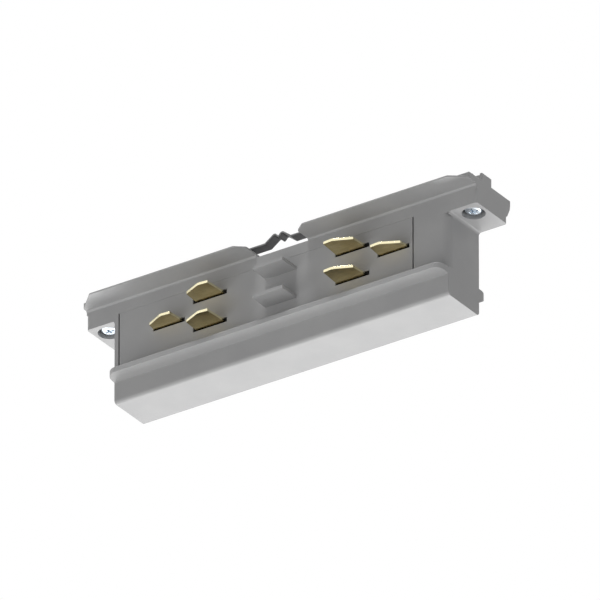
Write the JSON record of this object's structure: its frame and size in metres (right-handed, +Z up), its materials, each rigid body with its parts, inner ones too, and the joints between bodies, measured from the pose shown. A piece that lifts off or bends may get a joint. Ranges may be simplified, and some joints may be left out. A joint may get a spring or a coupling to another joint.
{
  "type": "track light straight connector",
  "caption": "Straight connector that joins lighting track ends: moulded body with flanges, sprung brass contacts on both sides, an earth strip on top and clamp screws in end lugs.",
  "frame": {"origin": "middle of the connector's underside", "axes": "+X along the connector, -Y towards the front face, +Z up towards the earth strip"},
  "size_m": [0.1402, 0.033, 0.0424],
  "materials": {
    "housing_plastic": "fine satin moulded grey plastic",
    "panel_plastic": "fine satin moulded grey plastic",
    "carrier_plastic": "moulded black plastic",
    "contact_brass": "stamped and lightly rolled",
    "spring_steel": "drawn wire",
    "earth_spring_steel": "dark rolled strip",
    "screw_zinc": "blue-white zinc plate",
    "washer_steel": "zinc plate",
    "insert_brass": "turned"
  },
  "bodies": {
    "root": {"housing": "housing_plastic", "contact_carrier": "carrier_plastic", "front_contact_panel": "panel_plastic", "rear_contact_panel": "panel_plastic", "front_lower_left_spring": "spring_steel", "front_lower_right_spring": "spring_steel", "front_middle_left_spring": "spring_steel", "front_middle_right_spring": "spring_steel", "front_upper_left_spring": "spring_steel", "front_upper_right_spring": "spring_steel", "rear_lower_left_spring": "spring_steel", "rear_lower_right_spring": "spring_steel", "rear_middle_left_spring": "spring_steel", "rear_middle_right_spring": "spring_steel", "rear_upper_left_spring": "spring_steel", "rear_upper_right_spring": "spring_steel", "earth_spring": "earth_spring_steel", "left_threaded_insert": "insert_brass", "right_threaded_insert": "insert_brass"},
    "front_lower_contact": {"front_lower_conductor": "contact_brass"},
    "front_middle_contact": {"front_middle_conductor": "contact_brass"},
    "front_upper_contact": {"front_upper_conductor": "contact_brass"},
    "rear_lower_contact": {"rear_lower_conductor": "contact_brass"},
    "rear_middle_contact": {"rear_middle_conductor": "contact_brass"},
    "rear_upper_contact": {"rear_upper_conductor": "contact_brass"},
    "left_washer": {"left_spring_washer": "washer_steel"},
    "left_screw": {"left_clamp_screw": "screw_zinc"},
    "right_washer": {"right_spring_washer": "washer_steel"},
    "right_screw": {"right_clamp_screw": "screw_zinc"}
  },
  "joints": [
    {"name": "front_lower_contact_press", "type": "slide", "parent": "root", "child": "front_lower_contact", "axis": [0, 1, 0], "range_m": [0, 0.0012], "stiffness_N_per_m": 1500, "springref_m": -0.001, "deforming": ["front_lower_left_spring", "front_lower_right_spring"]},
    {"name": "front_middle_contact_press", "type": "slide", "parent": "root", "child": "front_middle_contact", "axis": [0, 1, 0], "range_m": [0, 0.0012], "stiffness_N_per_m": 1500, "springref_m": -0.001, "deforming": ["front_middle_left_spring", "front_middle_right_spring"]},
    {"name": "front_upper_contact_press", "type": "slide", "parent": "root", "child": "front_upper_contact", "axis": [0, 1, 0], "range_m": [0, 0.0012], "stiffness_N_per_m": 1500, "springref_m": -0.001, "deforming": ["front_upper_left_spring", "front_upper_right_spring"]},
    {"name": "rear_lower_contact_press", "type": "slide", "parent": "root", "child": "rear_lower_contact", "axis": [0, -1, 0], "range_m": [0, 0.0012], "stiffness_N_per_m": 1500, "springref_m": -0.001, "deforming": ["rear_lower_left_spring", "rear_lower_right_spring"]},
    {"name": "rear_middle_contact_press", "type": "slide", "parent": "root", "child": "rear_middle_contact", "axis": [0, -1, 0], "range_m": [0, 0.0012], "stiffness_N_per_m": 1500, "springref_m": -0.001, "deforming": ["rear_middle_left_spring", "rear_middle_right_spring"]},
    {"name": "rear_upper_contact_press", "type": "slide", "parent": "root", "child": "rear_upper_contact", "axis": [0, -1, 0], "range_m": [0, 0.0012], "stiffness_N_per_m": 1500, "springref_m": -0.001, "deforming": ["rear_upper_left_spring", "rear_upper_right_spring"]},
    {"name": "left_screw_advance", "type": "slide", "parent": "root", "child": "left_washer", "axis": [0, 0, 1], "range_m": [0, 0.00125]},
    {"name": "left_screw_turn", "type": "hinge", "parent": "left_washer", "child": "left_screw", "pos_m": [-0.0654, -0.0028, 0.03095], "axis": [0, 0, 1], "range_deg": [0, 900]},
    {"name": "right_screw_advance", "type": "slide", "parent": "root", "child": "right_washer", "axis": [0, 0, 1], "range_m": [0, 0.00125]},
    {"name": "right_screw_turn", "type": "hinge", "parent": "right_washer", "child": "right_screw", "pos_m": [0.0654, -0.0028, 0.03095], "axis": [0, 0, 1], "range_deg": [0, 900]}
  ],
  "couplings": [
    {"joint": "left_screw_turn", "follows": "left_screw_advance", "rad_per_m": 12566},
    {"joint": "right_screw_turn", "follows": "right_screw_advance", "rad_per_m": 12566}
  ]
}
